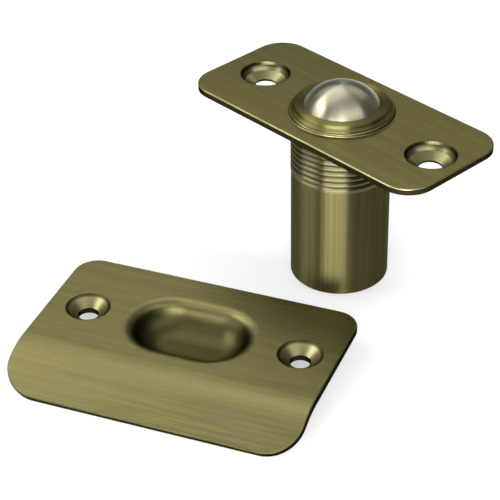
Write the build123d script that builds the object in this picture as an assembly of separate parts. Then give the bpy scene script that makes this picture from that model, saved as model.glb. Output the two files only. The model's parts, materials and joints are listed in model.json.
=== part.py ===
from build123d import *
import math
import os

# A mortise ball catch and its strike plate, in millimetres. The origin is the centre of the barrel's
# closed end, +Z runs up the barrel to the ball, and +X runs along the face plate.

# Face plate, a stamped brass rectangle that is screwed to the door's edge
plate_length = 57.15
plate_width = 25.7
plate_thickness = 1.27
plate_corner_r = 5.55
plate_edge_round = 0.3
plate_hole_spacing = 42.1
plate_hole_shift = 0.9       # the pair of holes is stamped this far off the plate's middle
plate_hole_r = 2.15
plate_sink_rim_r = 4.71      # the countersink's rim in the plate's face
plate_sink_step_r = 4.54     # foot of the short steep wall under the rim
plate_sink_step_depth = 0.55
plate_sink_bowl_r = 3.88     # where the bowl flattens to the screw head's cone
plate_sink_bowl_depth = 1.4
plate_sink_cone_depth = 2.45
plate_sink_land = 0.4        # straight length of the hole under the cone
plate_sink_wall = 1.0        # the sheet is drawn a little thinner round the screw hole

# Collar, drawn up out of the face plate round the threaded hole
collar_wall = 0.27
collar_height = 0.68
collar_round = 0.2
collar_foot_fillet = 0.2

# Barrel, a brass tube with a threaded upper end and a thick mouth that is turned in over the ball
barrel_r = 9.36
barrel_length = 36.8
barrel_wall = 0.744
barrel_end_chamfer = 0.35
thread_rise = 0.08           # the rolled crests stand this far out of the smooth tube
thread_clearance = 0.05      # between the thread's crests and the collar's hole
thread_pitch = 1.15
thread_depth = 0.35
thread_groove_width = 0.62
thread_end_slope = 0.65      # the thread's upper end falls to the neck this steeply
thread_length = 12.945
thread_lead = 0.98           # from the thread's lower end up to the middle of its first groove
mouth_proud = 1.875          # how far the mouth stands above the face plate as it is set
neck_step = 0.475            # from the smooth tube in to the neck
neck_length = 0.68           # from the thread's end up to the mouth's rim
neck_wall_length = 0.33      # straight part of the neck, below its rounded edge
mouth_rim_width = 1.33       # the flat rim round the opening
shoulder_bulge = 0.07        # how far the rounded edge stands out of a straight cone

# Ball, which runs freely in the bore, and the parts behind it
ball_clearance = 0.05        # between the ball and the barrel's bore
ball_proud = 3.78            # crown of the ball above the barrel's mouth
seat_clearance = 0.05        # between the ball and its cup
cup_slide_clearance = 0.12   # between the cup and the barrel's bore
cup_depth = 4.0
cup_floor = 1.5
cup_spigot_length = 2.5
cup_edge_chamfer = 0.3
spring_wire = 1.3
spring_bore_gap = 1.531      # between the coils and the barrel's bore
spring_turns = 6
spring_spigot_clearance = 0.35
spring_end_clearance = 0.05
plug_thickness = 2.0
plug_recess = 0.5            # the plug lies this far inside the barrel's end
plug_fit = 0.01
plug_boss_height = 1.2
plug_edge_chamfer = 0.3

# Strike plate, stamped from the same sheet, with a curved lip and a drawn pocket
strike_length = 56.0
strike_width = 37.4          # seen from above, over the curved lip
strike_thickness = 1.27
strike_back_margin = 14.8    # from the line of screw holes to the straight back edge
strike_back_corner_r = 4.5
strike_front_corner_r = 6.7
strike_edge_round = 0.3
strike_hole_spacing = 41.5
strike_hole_shift = 0.3      # the pair of holes is stamped this far off the plate's middle
strike_hole_r = 1.9
strike_sink_rim_r = 4.06
strike_sink_cone_depth = 1.7
strike_sink_land = 1.1
strike_sink_wall = 0.95
strike_sink_rim_round = 0.45
lip_bend_r = 13.5
lip_angle = 34.0
lip_drop = 5.95              # from the face down to the lip's lower edge
pocket_length = 25.4         # over the soft rim, in the plane of the face
pocket_width = 17.8
pocket_depth = 4.68
pocket_rim_bend_r = 2.4
pocket_wall_angle = 65.0     # steepest slope of the pocket's wall
strike_offset_x = 1.0        # where the strike lies beside the catch
strike_offset_y = -39.55
strike_turn = 25.15          # and how it is turned on the table

# Radii and heights that follow from the driving sizes
bore_r = barrel_r - barrel_wall
crest_r = barrel_r + thread_rise
neck_r = barrel_r - neck_step
ball_r = bore_r - ball_clearance
ball_z = barrel_length + ball_proud - ball_r
mouth_r = math.sqrt(bore_r**2 - (barrel_length - ball_z) ** 2)
mouth_rim_r = mouth_r + mouth_rim_width
thread_top = barrel_length - neck_length
thread_bottom = thread_top - thread_length
plate_top = barrel_length - mouth_proud
collar_hole_r = crest_r + thread_clearance
collar_r = collar_hole_r + collar_wall
spring_mean_r = bore_r - spring_bore_gap - spring_wire / 2
spigot_r = spring_mean_r - spring_wire / 2 - spring_spigot_clearance
cup_bottom = ball_z - ball_r - cup_floor
plug_top = plug_recess + plug_thickness
strike_top = max(lip_drop, pocket_depth + strike_thickness)


def face_from(*edges):
    """A flat face in the XZ plane from edges whose points are (radius, 0, height)."""
    return make_face(Wire(list(edges)))


def corners(points):
    """A polyline in the XZ plane through (radius, height) points."""
    return Polyline(*[(r, 0, z) for r, z in points])


def turned(face):
    """A body turned about the Z axis from its half section."""
    return revolve(face, Axis.Z, 360)


def outline_edges(body, lowest_normal):
    """Edges round the upper skin of a sheet: those that only one upward face has."""
    upper = [f for f in body.faces() if f.normal_at().Z > lowest_normal]
    seen = [e for f in upper for e in f.edges()]
    alone = [e for e in seen if sum(e.is_same(other) for other in seen) == 1]
    return ShapeList(alone)


def parallel_line(points, distance):
    """The polyline that lies at a distance to the left of another, with mitred corners."""
    directions = []
    for (r0, z0), (r1, z1) in zip(points, points[1:]):
        length = math.hypot(r1 - r0, z1 - z0)
        directions.append(((r1 - r0) / length, (z1 - z0) / length))
    moved = []
    for i, (r, z) in enumerate(points):
        before = directions[max(i - 1, 0)]
        after = directions[min(i, len(directions) - 1)]
        share = 1 + before[0] * after[0] + before[1] * after[1]
        moved.append(
            (
                r - distance * (before[1] + after[1]) / share,
                z + distance * (before[0] + after[0]) / share,
            )
        )
    return moved


def pressed_sink(skin, sheet, wall, land):
    """A countersink pressed down into sheet metal, turned about its own axis.

    skin lists (radius, height) from the rim in the face down to the hole's upper edge.
    Returns the pressed ring and the radius at which it joins the flat sheet.
    """
    hole_r, cone_z = skin[-1]
    under = parallel_line(skin[::-1], -wall)
    lowest = cone_z - land
    # the lower skin starts where its innermost slope reaches the land's end
    (r0, z0), (r1, z1) = under[0], under[1]
    foot = (r0 + (r1 - r0) * (lowest - z0) / (z1 - z0), lowest)
    # and ends where its outermost slope reaches the sheet's underside
    rising = [p for p in under[1:] if lowest < p[1] < -sheet]
    (r2, z2), (r3, z3) = under[-2], under[-1]
    top = (r2 + (r3 - r2) * (-sheet - z2) / (z3 - z2), -sheet)
    join_r = top[0] + wall / 4
    section = [*skin, (hole_r, lowest), foot, *rising, top, (join_r, -sheet), (join_r, 0), skin[0]]
    return turned(make_face(corners(section))), join_r


def make_face_plate():
    outline = RectangleRounded(plate_length, plate_width, plate_corner_r)
    sheet = extrude(outline, -plate_thickness)
    sheet = fillet(outline_edges(sheet, 0.5), plate_edge_round)

    # Collar and threaded hole
    collar = turned(
        make_face(
            corners(
                [
                    (collar_hole_r, -plate_thickness),
                    (collar_r, -plate_thickness),
                    (collar_r, collar_height),
                    (collar_hole_r, collar_height),
                    (collar_hole_r, -plate_thickness),
                ]
            )
        )
    )
    collar = fillet(collar.edges().group_by(Axis.Z)[-1].sort_by(SortBy.RADIUS)[-1], collar_round)
    body = sheet - extrude(Circle(collar_hole_r), plate_thickness, both=True) + collar
    foot = [
        e for e in body.edges().filter_by(GeomType.CIRCLE)
        if abs(e.radius - collar_r) < 1e-6 and abs(e.center().Z) < 1e-6
    ]
    body = fillet(foot, collar_foot_fillet)

    # Screw holes, pressed down so that the screw heads lie below the face
    skin = [
        (plate_sink_rim_r, 0),
        (plate_sink_step_r, -plate_sink_step_depth),
        (plate_sink_bowl_r, -plate_sink_bowl_depth),
        (plate_hole_r, -plate_sink_cone_depth),
    ]
    sink, join_r = pressed_sink(skin, plate_thickness, plate_sink_wall, plate_sink_land)
    for side in (-1, 1):
        x = plate_hole_shift + side * plate_hole_spacing / 2
        body -= Pos(x, 0) * extrude(Circle(join_r), plate_thickness, both=True)
        body += Pos(x, 0) * sink
    return Pos(0, 0, plate_top) * body


def make_barrel():
    # Outer line from the closed end up to the foot of the shoulder
    line = [
        (bore_r, 0),
        (barrel_r - barrel_end_chamfer, 0),
        (barrel_r, barrel_end_chamfer),
        (barrel_r, thread_bottom - thread_rise),
        (crest_r, thread_bottom),
    ]
    run_out = (crest_r - neck_r) * thread_end_slope
    room = thread_length - thread_lead - thread_groove_width / 2 - run_out
    for i in range(int(room / thread_pitch) + 1):
        middle = thread_bottom + thread_lead + i * thread_pitch
        line.append((crest_r, middle - thread_groove_width / 2))
        line.append((crest_r - thread_depth, middle))
        line.append((crest_r, middle + thread_groove_width / 2))
    shoulder_foot = thread_top + neck_wall_length
    line += [(crest_r, thread_top - run_out), (neck_r, thread_top), (neck_r, shoulder_foot)]

    # Rounded edge from the neck in to the flat rim
    mid_r = (neck_r + mouth_rim_r) / 2 + shoulder_bulge
    mid_z = (shoulder_foot + barrel_length) / 2 + shoulder_bulge
    shoulder = ThreePointArc(
        (neck_r, 0, shoulder_foot), (mid_r, 0, mid_z), (mouth_rim_r, 0, barrel_length)
    )
    rim = Line((mouth_rim_r, 0, barrel_length), (mouth_r, 0, barrel_length))

    # Inside the mouth is a part of a sphere, which holds the ball
    half_way = math.atan2(barrel_length - ball_z, mouth_r) / 2
    socket = ThreePointArc(
        (mouth_r, 0, barrel_length),
        (bore_r * math.cos(half_way), 0, ball_z + bore_r * math.sin(half_way)),
        (bore_r, 0, ball_z),
    )
    bore = Line((bore_r, 0, ball_z), (bore_r, 0, 0))
    return turned(face_from(*corners(line).edges(), shoulder, rim, socket, bore))


def make_ball():
    return Pos(0, 0, ball_z) * Sphere(ball_r)


def make_ball_cup():
    outer_r = bore_r - cup_slide_clearance
    height = cup_floor + cup_depth
    cup = extrude(Circle(outer_r), height) + extrude(Circle(spigot_r), -cup_spigot_length)
    rims = [e for e in cup.edges() if abs(e.center().Z - height) < 1e-6]
    tips = [e for e in cup.edges() if abs(e.center().Z + cup_spigot_length) < 1e-6]
    cup = chamfer(ShapeList(rims + tips), cup_edge_chamfer)
    return Pos(0, 0, cup_bottom) * cup - Pos(0, 0, ball_z) * Sphere(ball_r + seat_clearance)


def make_end_plug():
    disc = Pos(0, 0, plug_recess) * extrude(Circle(bore_r - plug_fit), plug_thickness)
    disc = chamfer(disc.edges().group_by(Axis.Z)[0], plug_edge_chamfer)
    boss = Pos(0, 0, plug_top) * extrude(Circle(spigot_r), plug_boss_height)
    boss = chamfer(boss.edges().group_by(Axis.Z)[-1], plug_edge_chamfer)
    return disc + boss


def make_spring():
    """An open coil with both ends ground flat."""
    bottom = plug_top + spring_end_clearance
    top = cup_bottom - spring_end_clearance
    height = top - bottom
    path = Helix(height / spring_turns, height, spring_mean_r)
    wire = Plane(origin=path @ 0, z_dir=path % 0) * Circle(spring_wire / 2)
    coil = sweep(wire, path=path)
    between = extrude(Circle(spring_mean_r + 2 * spring_wire), height)
    return Pos(0, 0, bottom) * (coil & between)


def strike_sheet():
    """The bent sheet with its lip, its face at height 0 and the screw holes' line on the X axis."""
    turn = math.radians(lip_angle)
    inner_r = lip_bend_r - strike_thickness
    bend_drop = lip_bend_r * (1 - math.cos(turn))
    tail = (lip_drop - strike_thickness * math.cos(turn) - bend_drop) / math.sin(turn)
    run = lip_bend_r * math.sin(turn) + tail * math.cos(turn)
    bend_y = strike_back_margin - strike_width + run

    centre = (bend_y, -lip_bend_r)
    top_bend = CenterArc(centre, lip_bend_r, 90, lip_angle)
    under_bend = CenterArc(centre, inner_r, 90, lip_angle)
    step = Vector(-tail * math.cos(turn), -tail * math.sin(turn))
    top_end = top_bend @ 1 + step
    under_end = under_bend @ 1 + step
    section = make_face(
        Wire(
            [
                Line((strike_back_margin, -strike_thickness), (strike_back_margin, 0)),
                Line((strike_back_margin, 0), top_bend @ 0),
                top_bend,
                Line(top_bend @ 1, top_end),
                Line(top_end, under_end),
                Line(under_end, under_bend @ 1),
                under_bend,
                Line(under_bend @ 0, (strike_back_margin, -strike_thickness)),
            ]
        )
    )
    sheet = extrude(Plane.YZ * section, strike_length / 2, both=True)

    # The blank's corners, two at the straight back edge and two larger ones on the lip
    back_edges = [e for e in sheet.edges() if abs((e % 0.5).Z) > 0.99 and e.center().Y > 0]
    sheet = fillet(ShapeList(back_edges), strike_back_corner_r)
    lip_end = Plane(
        origin=(0, top_end.X, top_end.Y),
        x_dir=(1, 0, 0),
        z_dir=(0, -math.sin(turn), math.cos(turn)),
    )
    reach = 2 * strike_width
    blank = Pos(0, reach / 2) * RectangleRounded(strike_length, reach, strike_front_corner_r)
    sheet = sheet & extrude(lip_end * blank, strike_width, both=True)
    return fillet(outline_edges(sheet, 0.5), strike_edge_round)


def pocket_section(reach):
    """Half section of the drawn pocket, as far as reach from its middle, face at height 0.

    The upper skin bends over a round rim and back into a round foot, and the lower skin
    lies one sheet below it all the way.
    """
    turn = math.radians(pocket_wall_angle)
    both_bends = pocket_depth / (1 - math.cos(turn))
    foot_r = both_bends - pocket_rim_bend_r
    flat = reach - both_bends * math.sin(turn)
    half = turn / 2

    def skin(offset):
        """Rim arc and foot arc of the skin that lies offset below the face."""
        rim_r = pocket_rim_bend_r - offset
        bowl_r = foot_r + offset
        rim_c = (reach, -pocket_rim_bend_r)
        bowl_c = (flat, foot_r - pocket_depth)
        rim = ThreePointArc(
            (rim_c[0], 0, rim_c[1] + rim_r),
            (rim_c[0] - rim_r * math.sin(half), 0, rim_c[1] + rim_r * math.cos(half)),
            (rim_c[0] - rim_r * math.sin(turn), 0, rim_c[1] + rim_r * math.cos(turn)),
        )
        bowl = ThreePointArc(
            rim @ 1,
            (bowl_c[0] + bowl_r * math.sin(half), 0, bowl_c[1] - bowl_r * math.cos(half)),
            (bowl_c[0], 0, bowl_c[1] - bowl_r),
        )
        return rim, bowl

    top_rim, top_bowl = skin(0)
    low_rim, low_bowl = skin(strike_thickness)
    return face_from(
        top_rim,
        top_bowl,
        Line(top_bowl @ 1, (0, 0, -pocket_depth)),
        Line((0, 0, -pocket_depth), (0, 0, -pocket_depth - strike_thickness)),
        Line((0, 0, -pocket_depth - strike_thickness), low_bowl @ 1),
        low_bowl,
        low_rim,
        Line(low_rim @ 0, top_rim @ 0),
    )


def make_pocket():
    """The drawn pocket: a straight middle between two half-turned ends."""
    reach = pocket_width / 2
    straight = pocket_length - pocket_width
    section = pocket_section(reach)
    end = revolve(section, Axis.Z, 180)
    half = extrude(section, straight, dir=(0, 1, 0))
    far = Rot(0, 0, 180) * half
    middle = Pos(0, -straight / 2) * half + Pos(0, straight / 2) * far
    pocket = middle + Pos(0, straight / 2) * end + Pos(0, -straight / 2) * (Rot(0, 0, 180) * end)
    return Rot(0, 0, 90) * pocket


def make_strike_plate():
    body = strike_sheet()
    window = SlotOverall(pocket_length, pocket_width)
    body = body - extrude(window, strike_thickness, both=True) + make_pocket()

    # Screw holes, softly pressed, with a straight land under the cone
    skin = [(strike_sink_rim_r, 0), (strike_hole_r, -strike_sink_cone_depth)]
    sink, join_r = pressed_sink(skin, strike_thickness, strike_sink_wall, strike_sink_land)
    for side in (-1, 1):
        x = strike_hole_shift + side * strike_hole_spacing / 2
        body -= Pos(x, 0) * extrude(Circle(join_r), strike_thickness, both=True)
        body += Pos(x, 0) * sink
    rims = [
        e for e in body.edges().filter_by(GeomType.CIRCLE)
        if abs(e.radius - strike_sink_rim_r) < 1e-6 and abs(e.center().Z) < 1e-6
    ]
    body = fillet(rims, strike_sink_rim_round)
    place = Pos(strike_offset_x, strike_offset_y, strike_top) * Rot(0, 0, strike_turn)
    return place * body


nodes = {
    "face_plate": make_face_plate(),
    "barrel": make_barrel(),
    "ball": make_ball(),
    "ball_cup": make_ball_cup(),
    "spring": make_spring(),
    "end_plug": make_end_plug(),
    "strike_plate": make_strike_plate(),
}
os.makedirs("parts", exist_ok=True)
for name, body in nodes.items():
    export_step(body, f"parts/{name}.step")
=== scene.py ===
import json
import math

import bmesh
import bpy
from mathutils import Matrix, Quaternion, Vector


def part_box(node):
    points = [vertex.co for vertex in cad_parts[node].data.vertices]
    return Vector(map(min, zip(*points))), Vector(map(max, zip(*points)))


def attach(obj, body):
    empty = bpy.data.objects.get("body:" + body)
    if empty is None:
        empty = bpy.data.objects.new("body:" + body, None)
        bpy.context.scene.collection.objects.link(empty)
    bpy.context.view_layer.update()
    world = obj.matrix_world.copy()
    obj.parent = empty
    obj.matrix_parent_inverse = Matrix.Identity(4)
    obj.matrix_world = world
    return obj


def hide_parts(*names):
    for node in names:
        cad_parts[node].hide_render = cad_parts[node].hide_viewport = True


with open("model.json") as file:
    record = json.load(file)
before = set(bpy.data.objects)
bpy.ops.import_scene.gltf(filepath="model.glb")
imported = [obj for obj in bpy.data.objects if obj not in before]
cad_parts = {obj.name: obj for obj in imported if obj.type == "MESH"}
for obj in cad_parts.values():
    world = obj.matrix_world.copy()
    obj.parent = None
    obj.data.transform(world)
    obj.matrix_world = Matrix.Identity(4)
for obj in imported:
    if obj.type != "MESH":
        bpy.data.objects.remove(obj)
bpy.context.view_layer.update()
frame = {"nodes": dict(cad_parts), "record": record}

# Camera, where the picture was taken from: in front of the catch's right end, looking down on both
# plates with a long lens. Its place and lens were worked out from the plates' outlines.
camera_place = Vector((0.20783, -0.21866, 0.20825))
camera_direction = Vector((-0.60378, 0.56657, -0.56076))
camera_roll = math.radians(-0.8)
photo_width_px = 500
focal_length_px = 1882.9

camera_data = bpy.data.cameras.new("camera")
camera = bpy.data.objects.new("camera", camera_data)
bpy.context.scene.collection.objects.link(camera)
bpy.context.scene.camera = camera
camera.location = camera_place
camera.rotation_mode = "QUATERNION"
aim = camera_direction.to_track_quat("-Z", "Y")
camera.rotation_quaternion = aim @ Quaternion((0, 0, 1), camera_roll)
camera_data.lens = camera_data.sensor_width * focal_length_px / photo_width_px
camera_data.clip_start = 0.01
camera_data.clip_end = 20


# Floor, a large matt sheet that the catch and the strike plate stand on. Its grey takes the soft
# shadows, and a glow that only the camera and the reflections see lifts it to nearly white.
class Shade:
    """A socket of a material's nodes. Arithmetic on it adds Math nodes."""

    def __init__(self, tree, socket=None):
        self.tree = tree
        self.socket = socket

    def node(self, kind, settings=None, inputs=None, output=0):
        """Adds a node: its settings first, then each input as a value or a link."""
        new = self.tree.nodes.new(kind)
        for name, value in (settings or {}).items():
            setattr(new, name, value)
        for name, value in (inputs or {}).items():
            if isinstance(value, Shade):
                self.tree.links.new(value.socket, new.inputs[name])
            else:
                new.inputs[name].default_value = value
        return Shade(self.tree, new.outputs[output] if len(new.outputs) else None)

    def part(self, axis):
        return self.node("ShaderNodeSeparateXYZ", {}, {"Vector": self}, output=axis)

    def math(self, operation, first, second=0.0):
        return self.node("ShaderNodeMath", {"operation": operation}, {0: first, 1: second})

    def __add__(self, other):
        return self.math("ADD", self, other)

    def __radd__(self, other):
        return self.math("ADD", other, self)

    def __sub__(self, other):
        return self.math("SUBTRACT", self, other)

    def __rsub__(self, other):
        return self.math("SUBTRACT", other, self)

    def __mul__(self, other):
        return self.math("MULTIPLY", self, other)

    def __rmul__(self, other):
        return self.math("MULTIPLY", other, self)

    def __pow__(self, other):
        return self.math("POWER", self, other)

    def __abs__(self):
        return self.math("ABSOLUTE", self)

    def between(self, low, high):
        """0 at low, 1 at high and a smooth change between them. Low may be the greater."""
        inputs = {"Value": self, "From Min": low, "From Max": high}
        return self.node("ShaderNodeMapRange", {"interpolation_type": "SMOOTHSTEP"}, inputs)

    def blend(self, first, second):
        """A colour between two others, by this mask."""
        inputs = {0: self, 6: first, 7: second}
        return self.node("ShaderNodeMix", {"data_type": "RGBA"}, inputs, output=2)


def new_material(name):
    """A material and the start of its nodes."""
    material = bpy.data.materials.new(name)
    material.use_nodes = True
    material.node_tree.nodes.clear()
    return material, Shade(material.node_tree)


def finish_surface(nodes, inputs):
    """The Principled surface at the end of a material, with the values or links given."""
    surface = nodes.node("ShaderNodeBsdfPrincipled", {}, inputs)
    nodes.node("ShaderNodeOutputMaterial", {}, {"Surface": surface})


floor_size = 6.0
floor_grey = (0.52, 0.52, 0.515, 1)
no_glow = (0, 0, 0, 1)
white_glow = (1, 1, 1, 1)
bpy.ops.object.select_all(action="DESELECT")
bpy.ops.mesh.primitive_plane_add(size=floor_size)
floor = bpy.context.object
floor.name = "floor"
floor_paper, nodes = new_material("floor_paper")
seen = nodes.node("ShaderNodeLightPath", output="Is Camera Ray")
mirrored = nodes.node("ShaderNodeLightPath", output="Is Glossy Ray")
through = nodes.node("ShaderNodeLightPath", output="Is Transmission Ray")
inputs = {
    "Base Color": floor_grey,
    "Roughness": 0.9,
    "Specular IOR Level": 0.1,
    "Emission Color": (seen + mirrored + through).blend(no_glow, white_glow),
    "Emission Strength": 0.52,
}
finish_surface(nodes, inputs)
floor.data.materials.append(floor_paper)


# Studio light: a large soft box over the catch's left, one behind the plates that their faces
# mirror and two at the sides for the ball and the thread, with two low strips in front for the
# barrel. The room is dim, with a paler ceiling.
def soft_box(name, azimuth, elevation, distance, size, brightness):
    """A lamp that faces the object, azimuth measured from -Y towards +X."""
    lamp = bpy.data.lights.new(name, "AREA")
    lamp.shape = "RECTANGLE"
    lamp.size, lamp.size_y = size
    lamp.energy = math.pi * size[0] * size[1] * brightness
    box = bpy.data.objects.new(name, lamp)
    bpy.context.scene.collection.objects.link(box)
    turn, rise = math.radians(azimuth), math.radians(elevation)
    level = math.cos(rise)
    away = Vector((math.sin(turn) * level, -math.cos(turn) * level, math.sin(rise)))
    box.location = away * distance
    box.rotation_mode = "QUATERNION"
    box.rotation_quaternion = away.to_track_quat("Z", "Y")


soft_box("key_box", azimuth=-105, elevation=64, distance=1.0, size=(0.8, 0.7), brightness=1.3)
soft_box("back_box", azimuth=-136, elevation=48, distance=0.6, size=(0.9, 0.3), brightness=0.85)
soft_box("side_box", azimuth=-50, elevation=45, distance=0.9, size=(0.6, 0.22), brightness=7)
soft_box("right_box", azimuth=78, elevation=50, distance=0.9, size=(1.1, 0.35), brightness=2.2)
soft_box("front_strip", azimuth=32, elevation=11, distance=0.9, size=(0.8, 0.2), brightness=43)
soft_box("left_strip", azimuth=-25, elevation=9, distance=0.9, size=(0.7, 0.25), brightness=7)

room_light = 0.13
ceiling_light = 0.25
ceiling_starts, ceiling_full = 0.60, 0.90
world = bpy.data.worlds.new("room")
bpy.context.scene.world = world
world.use_nodes = True
world.node_tree.nodes.clear()
nodes = Shade(world.node_tree)
direction = nodes.node("ShaderNodeTexCoord", output="Generated")
height = direction.part("Z")
glow = height.between(ceiling_starts, ceiling_full) * ceiling_light + room_light
background = nodes.node("ShaderNodeBackground", {}, {"Color": (1, 1, 1, 1), "Strength": glow})
nodes.node("ShaderNodeOutputWorld", {}, {"Surface": background})


# Face plate, stamped from brass sheet and brushed along its length, with an antique stain that the
# brushing has rubbed thin. Two screws through its pressed holes hold it to the door's edge.
def dress(piece, material):
    """Puts a material on every slot of a CAD node."""
    for place in range(len(piece.data.materials)):
        piece.data.materials[place] = material


def noise(place, scale, detail, roughness=0.5):
    """Noise on these coordinates, with its number of marks per metre along X, Y and Z."""
    stretched = place.node("ShaderNodeMapping", {}, {"Vector": place, "Scale": scale})
    inputs = {"Vector": stretched, "Scale": 1.0, "Detail": detail, "Roughness": roughness}
    return place.node("ShaderNodeTexNoise", {}, inputs)


def streaks(place, along, across, detail):
    """Noise drawn out along X, with marks of about this length and width in metres."""
    return noise(place, (1 / along, 1 / across, 1 / across), detail, roughness=0.55)


worn_brass = (0.230, 0.207, 0.085, 1)
stained_brass = (0.168, 0.150, 0.061, 1)
pressed_brass = (0.30, 0.275, 0.135, 1)
worn_and_highlight_brass = (0.34, 0.32, 0.17, 1)
edge_patina_and_shade = (0.032, 0.029, 0.012, 1)
rim_painted_shade = (0.040, 0.036, 0.014, 1)
pocket_painted_shade = (0.058, 0.053, 0.019, 1)
rim_width = 0.0003
sink_slope = 0.7
brush_mark_depth = 0.000025


def brushed_brass(
    name, centre, turn, hole_spacing, rim_radius, kept_bright, rough, wear_and_highlight, patina_and_shade_slopes, pocket=None
):
    """Antique brass brushed along a plate, with no brush marks in its pressed screw holes. Its
    corners are lighter, partly worn bright and partly a painted highlight. The holes' rims get a
    ring of painted shade, and a pocket's hollow gets painted shade. Steep surfaces get dark patina
    that is partly painted shade, from none to all of it between the two slopes given. A slope is 1
    on level surfaces and 0 on cut edges. Within the radius kept_bright there is neither this
    darkening nor a brush mark. A pocket is given by its middle and half the length of its straight
    part."""
    material, nodes = new_material(name)
    here = nodes.node("ShaderNodeTexCoord", output="Object")
    from_axis = here.part("X") ** 2 + here.part("Y") ** 2
    collar = from_axis.between(1.1 * kept_bright**2, kept_bright**2)
    inputs = {"Vector": here, "Location": centre, "Rotation": (0, 0, turn)}
    place = nodes.node("ShaderNodeMapping", {"vector_type": "TEXTURE"}, inputs)
    x, y = place.part("X"), place.part("Y")
    radius = ((abs(x) - hole_spacing / 2) ** 2 + y**2) ** 0.5
    brushed = radius.between(rim_radius - rim_width, rim_radius + rim_width / 3)
    inner_rim = radius.between(rim_radius - 2 * rim_width, rim_radius - rim_width * 2 / 3)
    rim = inner_rim * radius.between(rim_radius + rim_width, rim_radius)
    slope = nodes.node("ShaderNodeTexCoord", output="Normal").part("Z")

    broad = streaks(place, along=0.050, across=0.0012, detail=3.0)
    fine = streaks(place, along=0.014, across=0.00016, detail=2.0)
    grain = streaks(place, along=0.010, across=0.00007, detail=1.0)
    marks = (broad - 0.5) * 1.1 + (fine - 0.5)
    tone = (marks * brushed + 0.5).between(0.0, 1.0)
    colour = tone.blend(stained_brass, worn_brass)
    colour = brushed.blend(pressed_brass, colour)
    # Painted shade: a dark ring round the top of each pressed hole's rim.
    colour = (rim * 0.85).blend(colour, rim_painted_shade)
    # Corners and edge roundings are lighter, partly worn bright and partly a painted highlight.
    worn_highlit_corner = slope.between(0.15, 0.50) * slope.between(0.76, 0.62) * brushed * wear_and_highlight
    # Steep surfaces darken, partly patina on the cut edges and partly painted shade on the steep
    # sides. The pressed holes' own slope is taken off, so that they stay free of it.
    steepness = slope - (1 - brushed) * (sink_slope - patina_and_shade_slopes[0])
    steep_patina_and_shade = steepness.between(*patina_and_shade_slopes) * (1 - collar)
    if pocket:
        middle, half_straight = pocket
        beyond = place.math("MAXIMUM", abs(x - middle) - half_straight, 0.0)
        reach = (beyond**2 + y**2) ** 0.5
        # Painted shade: the pocket's hollow is darkened towards its middle.
        colour = (reach.between(0.0080, 0.0055) * 0.8).blend(colour, pocket_painted_shade)
        worn_highlit_corner = worn_highlit_corner * reach.between(0.0095, 0.0100)
        steep_patina_and_shade = steep_patina_and_shade * (reach.between(0.0080, 0.0095) * 0.25 + 0.75)
    colour = worn_highlit_corner.blend(colour, worn_and_highlight_brass)
    colour = steep_patina_and_shade.blend(colour, edge_patina_and_shade)
    height = grain * brushed * (1 - collar)
    inputs = {"Strength": 1.0, "Distance": brush_mark_depth, "Height": height}
    finish_surface(
        nodes,
        {
            "Base Color": colour,
            "Metallic": 1.0,
            "Roughness": rough + (fine - 0.5) * brushed * 0.10,
            "Specular Tint": (0.19, 0.20, 0.25, 1),
            "Normal": nodes.node("ShaderNodeBump", {}, inputs, output="Normal"),
        },
    )
    return material


mounts = {mount["name"]: mount for mount in frame["record"]["mounts"]}
plate_screws = mounts["face_plate_screws"]
# The plate's steep cut edges get dark patina and painted shade, its hole rims painted shade, and
# its corners a painted highlight that is partly wear.
plate_brass = brushed_brass(
    "brushed_plate_brass",
    centre=(plate_screws["pos_m"][0], 0, 0),
    turn=0.0,
    hole_spacing=plate_screws["dims"]["spacing_x_mm"] / 1000,
    rim_radius=0.00471,
    kept_bright=0.0101,
    rough=0.33,
    wear_and_highlight=1.0,
    patina_and_shade_slopes=(0.5, 0.1),
)
dress(frame["nodes"]["face_plate"], plate_brass)


# Barrel, a brass tube drawn to size, with a right-hand thread cut at its upper end and its mouth
# spun in over the ball. Below the mouth it is painted darker than the mouth, as painted shade, and
# the drawing has left faint marks along it. Its grooves get painted shade and its crests a painted
# highlight. The thread holds it in the face plate.
barrel_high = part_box("barrel")[1]
barrel_top = barrel_high.z
crest_radius = barrel_high.x
thread_rise = 0.00008
wall_radius = crest_radius - thread_rise
bore_radius = 0.008616
neck_radius = 0.008885
mouth_rim_radius = 0.0084945
mouth_radius = 0.0071645
socket_height = 0.032014
tube_ring_height = 0.012
bore_ring_height = socket_height - 0.002
end_chamfer = 0.00035
chamfer_round = 0.00003
chamfer_margin = 0.0001
thread_pitch = 0.00115
thread_depth = 0.00035
thread_low = 0.0228
thread_high = 0.03576
half_land = 0.00018
half_root = 0.00008
land_round = 0.00004
groove_start_angle = math.radians(-120)
groove_start_height = 0.0235
run_in_rise = thread_pitch / 5
run_out_rise = thread_pitch / 4
screw_steps = 120
# The neck's straight wall, from the thread's end up, and its rounded upper edge.
neck = [
    (neck_radius, 0.03612),
    (neck_radius, 0.03641),
    (0.00887, 0.036503),
    (0.008827, 0.036607),
    (0.008758, 0.036693),
    (0.00867, 0.036758),
    (0.008562, 0.036792),
]


def select_open_edges(piece, low, high):
    """Selects the open edges of a piece in edit mode between two heights."""
    bpy.ops.mesh.select_all(action="DESELECT")
    mesh = bmesh.from_edit_mesh(piece.data)
    for rim in mesh.edges:
        if rim.is_boundary and all(low < vertex.co.z < high for vertex in rim.verts):
            rim.select_set(True)
    bmesh.update_edit_mesh(piece.data)


def carry_ring(path):
    """Extrudes the selected ring round the Z axis through these radii and heights."""
    for (radius, height), (next_radius, next_height) in zip(path, path[1:]):
        bpy.ops.mesh.extrude_edges_move()
        ratio = next_radius / radius
        bpy.ops.transform.resize(value=(ratio, ratio, 1), center_override=(0, 0, 0))
        bpy.ops.transform.translate(value=(0, 0, next_height - height))


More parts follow.
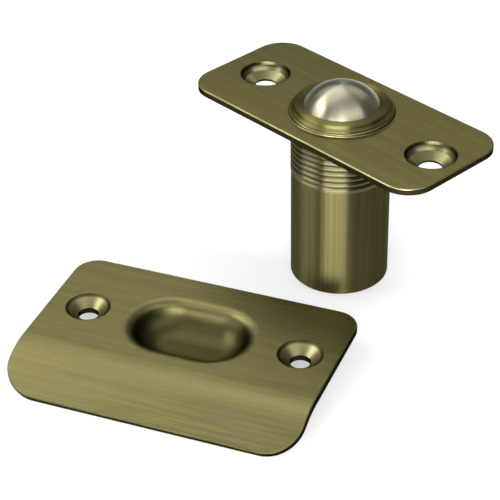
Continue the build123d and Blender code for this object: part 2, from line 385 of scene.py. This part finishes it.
def arc(centre, radius, start, end, count):
    """Radii and heights along a part of a circle, with its angles in degrees."""
    angles = [math.radians(start + (end - start) * i / count) for i in range(count + 1)]
    return [(centre[0] + radius * math.cos(a), centre[1] + radius * math.sin(a)) for a in angles]


# One pitch of the thread, drawn as a chain of points and turned up into a helix.
half_line = [
    (0, 0),
    (0, half_land - land_round),
    (0.3 * land_round, half_land),
    (1.2 * land_round, half_land + land_round),
    (thread_depth - land_round, thread_pitch / 2 - half_root),
    (thread_depth, thread_pitch / 2),
]
pitch_line = half_line + [(depth, thread_pitch - height) for depth, height in half_line[-2::-1]]
first_middle = groove_start_height - 2 * thread_pitch
outward = Vector((math.cos(groove_start_angle), math.sin(groove_start_angle), 0))
bpy.ops.object.select_all(action="DESELECT")
bpy.ops.mesh.primitive_plane_add(size=0.001)
barrel = bpy.context.object
barrel.name = "threaded_barrel"
bpy.ops.object.mode_set(mode="EDIT")
bpy.ops.mesh.select_mode(type="VERT")
bpy.ops.mesh.select_all(action="SELECT")
bpy.ops.mesh.merge(type="CENTER")
here = Vector((0, 0, 0))
for place, (depth, height) in enumerate(pitch_line):
    there = outward * (crest_radius - depth)
    there.z = first_middle - thread_pitch / 2 + height
    if place == 0:
        bpy.ops.transform.translate(value=there)
    else:
        bpy.ops.mesh.extrude_vertices_move(TRANSFORM_OT_translate={"value": there - here})
    here = there
bpy.ops.object.mode_set(mode="OBJECT")
screw = barrel.modifiers.new("thread", "SCREW")
screw.screw_offset = thread_pitch
screw.iterations = math.ceil((thread_high - first_middle) / thread_pitch) + 1
screw.steps = screw.render_steps = screw_steps
screw.use_merge_vertices = False
bpy.ops.object.modifier_apply(modifier="thread")

# The groove runs out to nothing at both ends of the thread.
run_out = barrel.vertex_groups.new(name="run_out")
for step in range(len(barrel.data.vertices) // len(pitch_line)):
    middle = first_middle + thread_pitch * step / screw_steps
    rise = (middle - groove_start_height) / run_in_rise
    fall = (thread_high - thread_pitch / 2 - middle) / run_out_rise
    share = min(max(min(rise, fall), 0), 1)
    slice_points = range(step * len(pitch_line), (step + 1) * len(pitch_line))
    run_out.add(list(slice_points), 1 - share * share * (3 - 2 * share), "REPLACE")
cast = barrel.modifiers.new("run_out", "CAST")
cast.cast_type = "CYLINDER"
cast.factor = 1.0
cast.use_radius_as_size = False
cast.size = crest_radius
cast.vertex_group = "run_out"
bpy.ops.object.modifier_apply(modifier="run_out")

# The ends of the helix are trimmed level, and the rest of the tube is carried on from them.
bpy.ops.object.mode_set(mode="EDIT")
bpy.ops.mesh.select_all(action="SELECT")
bpy.ops.mesh.remove_doubles(threshold=1e-6)
for height, side in ((thread_low, -1), (thread_high, 1)):
    bpy.ops.mesh.select_all(action="SELECT")
    bpy.ops.mesh.bisect(
        plane_co=(0, 0, height), plane_no=(0, 0, side), clear_outer=True, threshold=1e-7
    )
bpy.ops.mesh.select_mode(type="EDGE")
select_open_edges(barrel, 0, thread_low + 1e-5)
carry_ring(
    [
        (crest_radius, thread_low),
        (wall_radius, thread_low - thread_rise),
        (wall_radius, tube_ring_height),
        (wall_radius, end_chamfer + chamfer_margin),
        (wall_radius - chamfer_round, end_chamfer - chamfer_round),
        (wall_radius - end_chamfer + chamfer_round, chamfer_round),
        (wall_radius - end_chamfer - chamfer_margin, 0),
        (bore_radius, 0),
        (bore_radius, bore_ring_height),
    ]
)
select_open_edges(barrel, thread_high - 1e-5, 1)
mouth_angle = math.degrees(math.acos(mouth_radius / bore_radius))
mouth = [(mouth_rim_radius - 0.00005, barrel_top), (mouth_radius, barrel_top)]
seat = arc((0, socket_height), bore_radius, mouth_angle, 0, 8)
carry_ring([(crest_radius, thread_high)] + neck + mouth + seat[1:])
select_open_edges(barrel, 0, 1)
bpy.ops.mesh.bridge_edge_loops()
bpy.ops.mesh.select_all(action="SELECT")
bpy.ops.mesh.normals_make_consistent(inside=False)
bpy.ops.object.mode_set(mode="OBJECT")
bpy.ops.object.shade_smooth_by_angle(angle=math.radians(32))
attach(barrel, "tube")
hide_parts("barrel")

# The tube below the mouth is painted darker than its mouth, as painted shade, with random drawing
# marks.
shaded_dark_drawn = (0.076, 0.069, 0.027, 1)
shaded_pale_drawn = (0.103, 0.094, 0.038, 1)
groove_shade_and_stain = (0.030, 0.027, 0.011, 1)
crest_highlight_and_wear = (0.130, 0.119, 0.063, 1)
mouth_brass = (0.165, 0.148, 0.056, 1)
barrel_brass, nodes = new_material("drawn_barrel_brass")
here = nodes.node("ShaderNodeTexCoord", output="Object")
height = here.part("Z")
radius = (here.part("X") ** 2 + here.part("Y") ** 2) ** 0.5
drawing_marks = noise(here, (1400, 1400, 12), detail=2.0)
drawn = drawing_marks.between(0.25, 0.75).blend(shaded_dark_drawn, shaded_pale_drawn)
# Painted shade in the thread's grooves, partly stain, and a painted highlight on its crests, partly
# wear.
crests = radius.between(crest_radius - 0.00034, crest_radius - 0.00022)
thread = crests.blend(groove_shade_and_stain, crest_highlight_and_wear)
above = height.between(thread_low - 0.00006, thread_low)
head = height.between(thread_high - 0.0002, thread_high)
threaded = above * (1 - head)
finish_surface(
    nodes,
    {
        "Base Color": head.blend(above.blend(drawn, thread), mouth_brass),
        "Metallic": 1.0,
        "Roughness": 0.47 - threaded * 0.12,
        "Specular Tint": (0.5, 0.5, 0.45, 1),
        "Anisotropic": 0.95,
        "Anisotropic Rotation": 0.25,
    },
)
barrel.data.materials.append(barrel_brass)


# End plug, a disc turned from brass bar and pressed into the barrel's lower end. The spring stands
# on it, round a low boss, and it has the barrel's colour, darkened as painted shade.
dress(frame["nodes"]["end_plug"], barrel_brass)


# Spring, six open coils of drawn steel wire with ground ends. It stands on the end plug and presses
# the ball cup up.
spring_steel, nodes = new_material("spring_wire_steel")
here = nodes.node("ShaderNodeTexCoord", output="Object")
scale_marks = noise(here, (900, 900, 900), detail=3.0)
finish_surface(
    nodes,
    {
        "Base Color": scale_marks.blend((0.34, 0.34, 0.35, 1), (0.52, 0.52, 0.53, 1)),
        "Metallic": 1.0,
        "Roughness": 0.24 + scale_marks * 0.18,
    },
)
dress(frame["nodes"]["spring"], spring_steel)


# Ball cup, turned from brass bar and left bright. It slides in the barrel's bore, on top of the
# spring, and carries the ball.
cup_brass, nodes = new_material("turned_cup_brass")
here = nodes.node("ShaderNodeTexCoord", output="Object")
tool_marks = noise(here, (60, 60, 5200), detail=1.0)
finish_surface(
    nodes,
    {
        "Base Color": tool_marks.blend((0.52, 0.40, 0.16, 1), (0.66, 0.53, 0.24, 1)),
        "Metallic": 1.0,
        "Roughness": 0.26 + tool_marks * 0.12,
    },
)
dress(frame["nodes"]["ball_cup"], cup_brass)


# Ball, a polished steel ball that the spring presses out of the barrel's mouth. The mouth's spun
# edge keeps it in.
ball_steel, nodes = new_material("polished_ball_steel")
here = nodes.node("ShaderNodeTexCoord", output="Object")
haze = noise(here, (420, 420, 420), detail=4.0)
finish_surface(
    nodes,
    {
        "Base Color": haze.blend((0.33, 0.31, 0.225, 1), (0.39, 0.365, 0.265, 1)),
        "Metallic": 1.0,
        "Roughness": 0.27 + haze * 0.05,
        "Anisotropic": 0.75,
        "Anisotropic Rotation": 0.25,
    },
)
dress(frame["nodes"]["ball"], ball_steel)


# Strike plate, stamped from the same brass sheet, bent down at its lip and drawn into a pocket for
# the ball. Two screws hold it to the door frame.
strike_screws = mounts["strike_screws"]
# Its pocket's hollow and steep surfaces get painted shade, partly patina on the cut edges, and its
# hole rims a ring of painted shade.
strike_brass = brushed_brass(
    "brushed_strike_brass",
    centre=(strike_screws["pos_m"][0], strike_screws["pos_m"][1], 0),
    turn=math.radians(25.15),
    hole_spacing=strike_screws["dims"]["pcd_mm"] / 1000,
    rim_radius=0.00406,
    kept_bright=0.0,
    rough=0.38,
    wear_and_highlight=0.1,
    patina_and_shade_slopes=(0.80, 0.55),
    pocket=(-0.0003, 0.0038),
)
dress(frame["nodes"]["strike_plate"], strike_brass)


# The picture is taken as it is, with no grading.
bpy.context.scene.view_settings.view_transform = "Standard"
